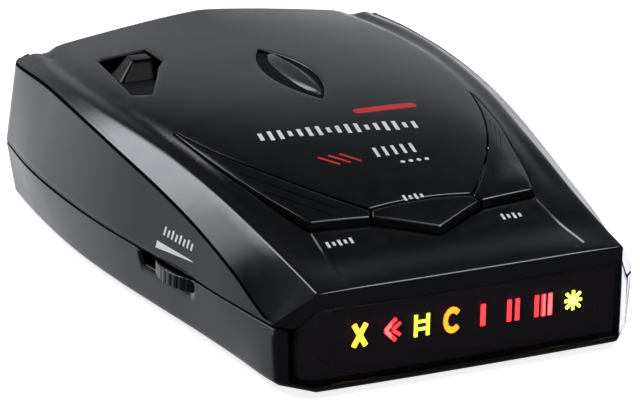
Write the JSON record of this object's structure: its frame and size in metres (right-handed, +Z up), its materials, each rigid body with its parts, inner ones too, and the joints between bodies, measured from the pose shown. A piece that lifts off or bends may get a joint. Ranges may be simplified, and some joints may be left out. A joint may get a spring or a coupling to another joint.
{
  "type": "radar detector",
  "caption": "Dash-top radar detector: wedge-shaped black case with a smoked front display, press keys on a domed shield, a thumbwheel and a bracket release.",
  "frame": {"origin": "centre of the footprint, on the plane the foot pads stand on", "axes": "+X to the driver's right as the display is read, +Y towards the road, +Z up"},
  "size_m": [0.0812, 0.108, 0.0313],
  "materials": {
    "case_black": "fine satin texture",
    "key_black": "satin",
    "smoked_window": "polished, smoked",
    "smoked_lens": "polished",
    "circuit_green": "solder mask",
    "baffle_black": "matte",
    "mask_film": "printed film",
    "lamp_clear": "clear resin",
    "component_black": "moulded",
    "rubber_grey": "soft",
    "spring_steel": "drawn wire",
    "sheet_steel": "stamped",
    "zinc_cast": "as cast",
    "tinned_can": "bright",
    "paper_cone": "pressed paper",
    "felt_black": "felt",
    "foot_rubber": "ribbed",
    "label_silver": "foil",
    "screw_steel": "black oxide",
    "cable_white": "film",
    "capacitor_sleeve": "sleeve"
  },
  "bodies": {
    "case": {"top_cover": "case_black", "bottom_cover": "case_black", "display_window": "smoked_window", "crown_lens": "smoked_lens", "laser_lens": "smoked_lens", "volume_potentiometer": "component_black", "switch_bases": "component_black", "left_switch_dome": "rubber_grey", "chevron_switch_dome": "rubber_grey", "right_switch_dome": "rubber_grey", "release_spring": "spring_steel", "bracket_guide": "sheet_steel", "main_board": "circuit_green", "display_board": "circuit_green", "light_baffle": "baffle_black", "indicator_mask": "mask_film", "indicator_lamps": "lamp_clear", "ribbon_cable": "cable_white", "loudspeaker": "sheet_steel", "speaker_cone": "paper_cone", "speaker_felt": "felt_black", "horn_antenna": "zinc_cast", "shield_can": "tinned_can", "power_jack": "component_black", "earphone_jack": "component_black", "case_screws": "screw_steel", "board_screws": "screw_steel", "foot_pads": "foot_rubber", "rating_label": "label_silver", "controller_chip": "component_black", "filter_capacitor": "capacitor_sleeve", "crystal": "tinned_can", "laser_board": "circuit_green", "laser_sensor": "component_black", "crown_riser": "circuit_green", "crown_sensor": "component_black"},
    "left_wing": {"left_wing_key": "key_black"},
    "right_wing": {"right_wing_key": "key_black"},
    "chevron": {"chevron_key": "key_black"},
    "release": {"release_button": "key_black"},
    "volume": {"volume_wheel": "key_black", "potentiometer_shaft": "sheet_steel"}
  },
  "joints": [
    {"name": "left_wing_press", "type": "hinge", "parent": "case", "child": "left_wing", "pos_m": [-0.0284, 0.0015, 0.0266], "axis": [1, 0, 0], "range_deg": [0, 1.35], "stiffness_Nm_per_rad": 1.9, "springref_deg": -0.57, "deforming": ["left_switch_dome"]},
    {"name": "right_wing_press", "type": "hinge", "parent": "case", "child": "right_wing", "pos_m": [0.0284, 0.0015, 0.0266], "axis": [1, 0, 0], "range_deg": [0, 1.35], "stiffness_Nm_per_rad": 1.9, "springref_deg": -0.57, "deforming": ["right_switch_dome"]},
    {"name": "chevron_press", "type": "slide", "parent": "case", "child": "chevron", "axis": [0, 0, -1], "range_m": [0, 0.0008], "stiffness_N_per_m": 1500, "springref_m": -0.0003, "deforming": ["chevron_switch_dome"]},
    {"name": "release_press", "type": "slide", "parent": "case", "child": "release", "axis": [0, 0, -1], "range_m": [0, 0.0022], "stiffness_N_per_m": 900, "springref_m": -0.001, "deforming": ["release_spring"]},
    {"name": "volume_turn", "type": "hinge", "parent": "case", "child": "volume", "pos_m": [-0.0264, -0.016, 0.0096], "axis": [0, 0, 1], "range_deg": [-140, 140]}
  ]
}
